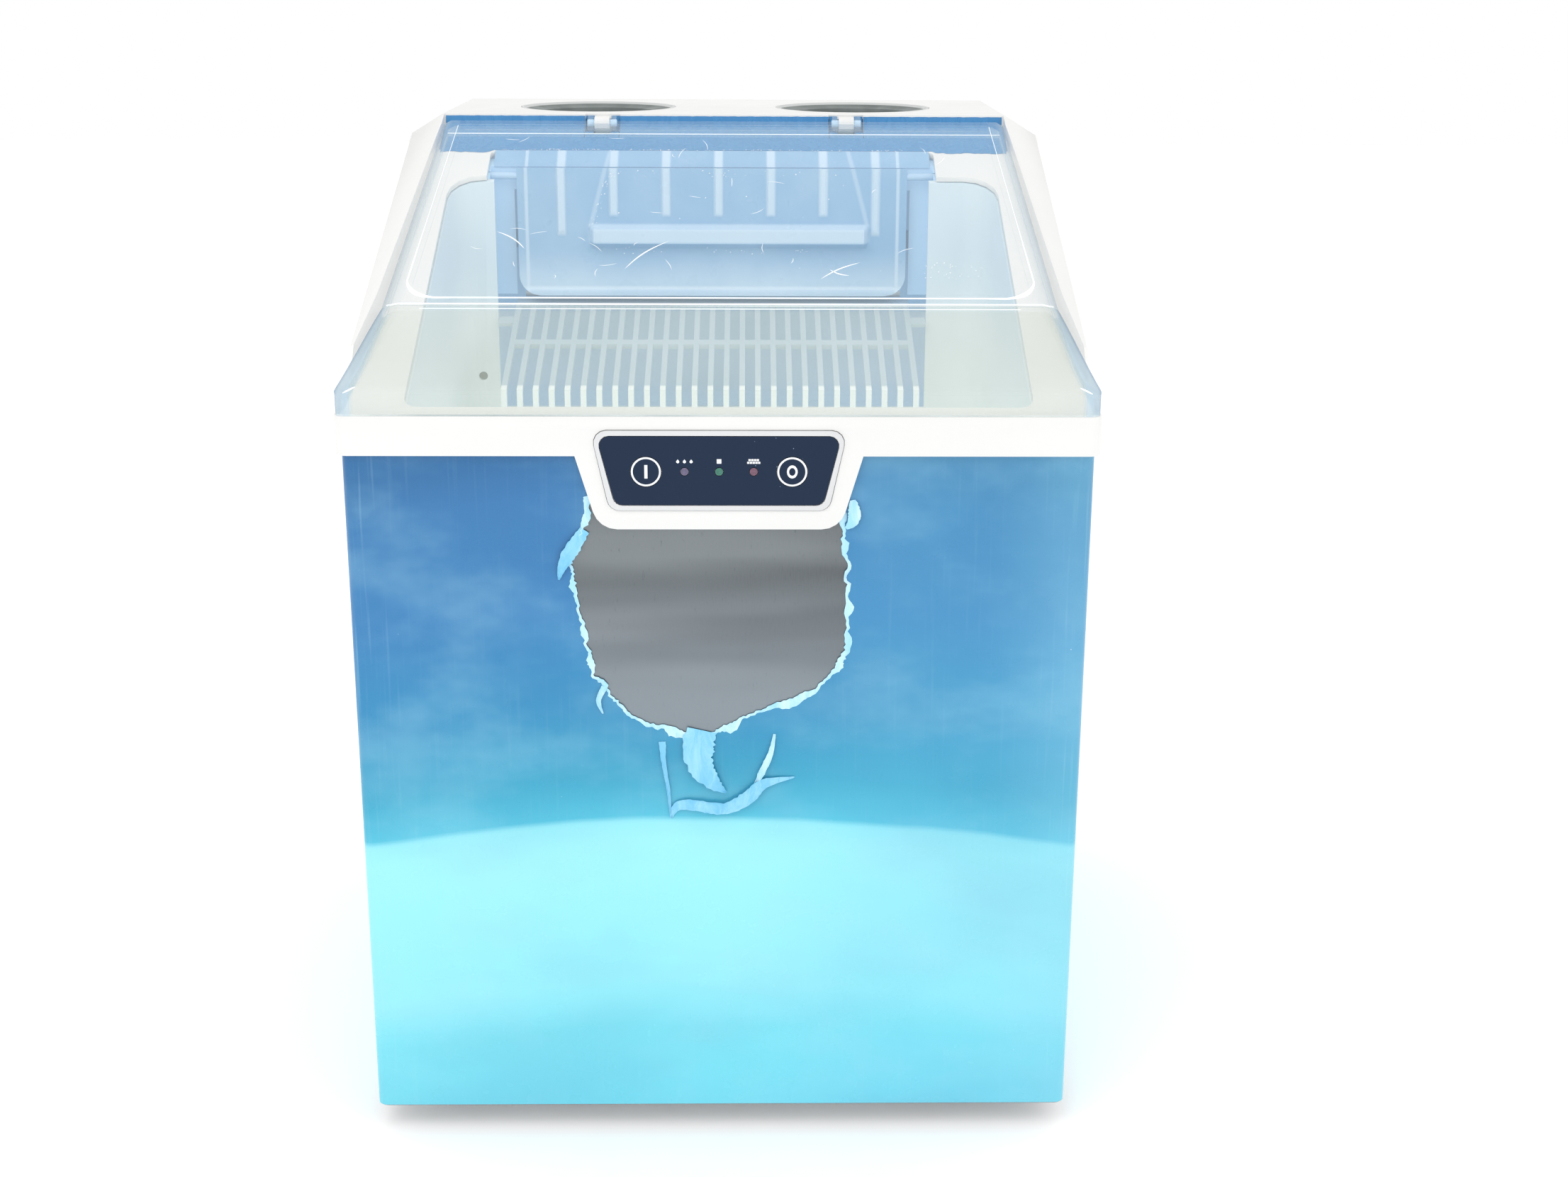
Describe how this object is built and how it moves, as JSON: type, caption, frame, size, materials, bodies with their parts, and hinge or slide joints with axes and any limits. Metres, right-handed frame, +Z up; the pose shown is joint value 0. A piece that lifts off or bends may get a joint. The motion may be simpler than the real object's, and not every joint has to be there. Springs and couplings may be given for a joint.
{
  "type": "countertop ice maker",
  "caption": "Countertop ice maker with a clear hinged lid, film-wrapped steel body, front control panel and slide grate.",
  "frame": {"origin": "on the floor, under the middle of the machine's box", "axes": "+Z up, -Y out of the front with the control panel, +X to the right seen from the front"},
  "size_m": [0.366, 0.4, 0.505],
  "materials": {
    "white_abs": "satin",
    "clear_lid": "polished",
    "steel_sheet": "brushed",
    "blue_film": "glossy film",
    "galvanised": "satin",
    "pale_grey_plastic": "satin",
    "navy_overlay": "glossy",
    "rubber": "matte",
    "dark_grey_plastic": "satin",
    "copper_pipe": "drawn",
    "aluminium": "mill",
    "black_steel": "satin",
    "foam": "matte foam",
    "blue_curtain": "satin",
    "circuit_board": "satin",
    "led_lens": "glossy",
    "clear_hose": "satin",
    "black_plastic": "satin",
    "pin_steel": "ground"
  },
  "bodies": {
    "chassis": {"base_pan": "galvanised", "foot_front_left": "rubber", "foot_front_right": "rubber", "foot_rear_left": "rubber", "foot_rear_right": "rubber", "body_wrap": "steel_sheet", "protective_film": "blue_film", "rear_panel": "galvanised", "rear_screw_1": "aluminium", "rear_screw_2": "aluminium", "rear_screw_3": "aluminium", "rear_screw_4": "aluminium", "top_casing": "white_abs", "header_panel": "steel_sheet", "bottle_well_left": "dark_grey_plastic", "bottle_well_right": "dark_grey_plastic", "panel_bezel": "pale_grey_plastic", "panel_overlay": "navy_overlay", "led_add_water": "led_lens", "led_ice": "led_lens", "led_ice_full": "led_lens", "control_board": "circuit_board", "hinge_bracket_left": "white_abs", "hinge_bracket_right": "white_abs", "hinge_pin_left": "pin_steel", "hinge_pin_right": "pin_steel", "bin_liner": "white_abs", "bin_insulation": "foam", "ice_chamber": "blue_curtain", "evaporator": "aluminium", "evaporator_coil": "copper_pipe", "water_distributor": "white_abs", "slide_grate": "white_abs", "ice_full_sensor": "dark_grey_plastic", "water_tank": "clear_hose", "water_pump": "black_plastic", "pump_hose": "clear_hose", "drain_spout": "white_abs", "compressor": "black_steel", "compressor_mount_1": "rubber", "compressor_mount_2": "rubber", "compressor_mount_3": "rubber", "condenser": "aluminium", "fan_shroud": "black_plastic", "fan_motor": "galvanised", "filter_drier": "copper_pipe", "suction_line": "copper_pipe", "discharge_line": "copper_pipe", "capillary_tube": "copper_pipe", "hot_gas_valve": "aluminium", "water_inlet": "white_abs", "power_inlet": "black_plastic"},
    "lid": {"lid": "clear_lid"},
    "curtain": {"ice_curtain": "blue_curtain"},
    "on_button": {"button_on": "navy_overlay"},
    "off_button": {"button_off": "navy_overlay"},
    "fan": {"fan_rotor": "aluminium"},
    "impeller": {"pump_impeller": "white_abs"},
    "level_float": {"float": "white_abs"},
    "drain_plug": {"drain_cap": "rubber"}
  },
  "joints": [
    {"name": "lid_hinge", "type": "hinge", "parent": "chassis", "child": "lid", "pos_m": [0, 0.055, 0.5005], "axis": [-1, 0, 0], "range_deg": [0, 95]},
    {"name": "curtain_hinge", "type": "hinge", "parent": "chassis", "child": "curtain", "pos_m": [0, 0.019, 0.474], "axis": [-1, 0, 0], "range_deg": [0, 35]},
    {"name": "on_button_press", "type": "slide", "parent": "chassis", "child": "on_button", "axis": [0, 1, 0], "range_m": [0, 0.0006], "stiffness_N_per_m": 400},
    {"name": "off_button_press", "type": "slide", "parent": "chassis", "child": "off_button", "axis": [0, 1, 0], "range_m": [0, 0.0006], "stiffness_N_per_m": 400},
    {"name": "fan_spin", "type": "hinge", "parent": "chassis", "child": "fan", "pos_m": [-0.098, 0.108, 0.132], "axis": [0, 1, 0], "continuous": true},
    {"name": "impeller_spin", "type": "hinge", "parent": "chassis", "child": "impeller", "pos_m": [-0.1, 0.015, 0.04], "axis": [0, 0, 1], "continuous": true},
    {"name": "float_rise", "type": "slide", "parent": "chassis", "child": "level_float", "axis": [0, 0, 1], "range_m": [0, 0.036]},
    {"name": "drain_plug_pull", "type": "slide", "parent": "chassis", "child": "drain_plug", "axis": [0, 1, 0], "range_m": [0, 0.014]}
  ]
}
